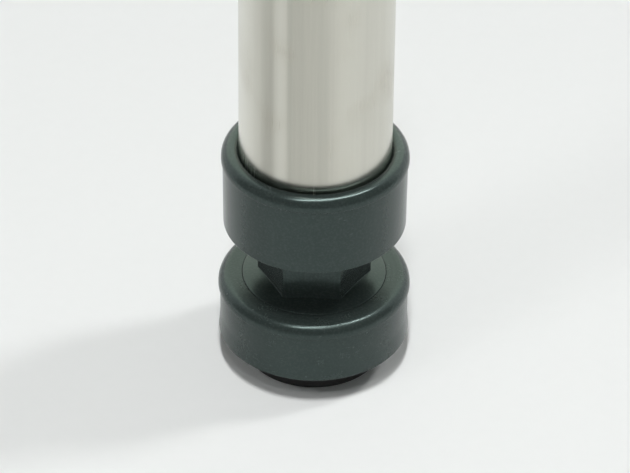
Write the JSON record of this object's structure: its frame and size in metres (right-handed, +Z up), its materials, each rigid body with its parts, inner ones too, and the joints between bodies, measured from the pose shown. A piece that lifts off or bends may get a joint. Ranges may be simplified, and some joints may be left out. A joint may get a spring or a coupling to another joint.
{
  "type": "plastic levelling foot on a round leg",
  "caption": "Black plastic levelling foot on the end of a round stainless leg: collar, spanner hexagon, disc and rubber floor pad.",
  "frame": {"origin": "centre of the floor pad's underside, on the floor", "axes": "+Z up along the leg, -Y to the front, towards a flat of the hexagon within a few degrees"},
  "size_m": [0.0526, 0.0526, 0.1501],
  "materials": {
    "stainless": "brushed along the tube",
    "black_moulding": "smooth moulded, half gloss",
    "black_rubber": "matt"
  },
  "bodies": {
    "base": {"foot_base": "black_moulding", "floor_pad": "black_rubber"},
    "spindle": {"foot_spindle": "black_moulding"},
    "leg": {"leg_tube": "stainless", "tube_insert": "black_moulding"}
  },
  "joints": [
    {"name": "height", "type": "slide", "parent": "base", "child": "leg", "axis": [0, 0, 1], "range_m": [-0.0045, 0.025]},
    {"name": "spindle_turn", "type": "hinge", "parent": "base", "child": "spindle", "pos_m": [0, 0, 0.02728], "axis": [0, 0, 1], "range_deg": [-2260, 410]}
  ],
  "couplings": [
    {"joint": "spindle_turn", "follows": "height", "rad_per_m": -1570.8}
  ]
}
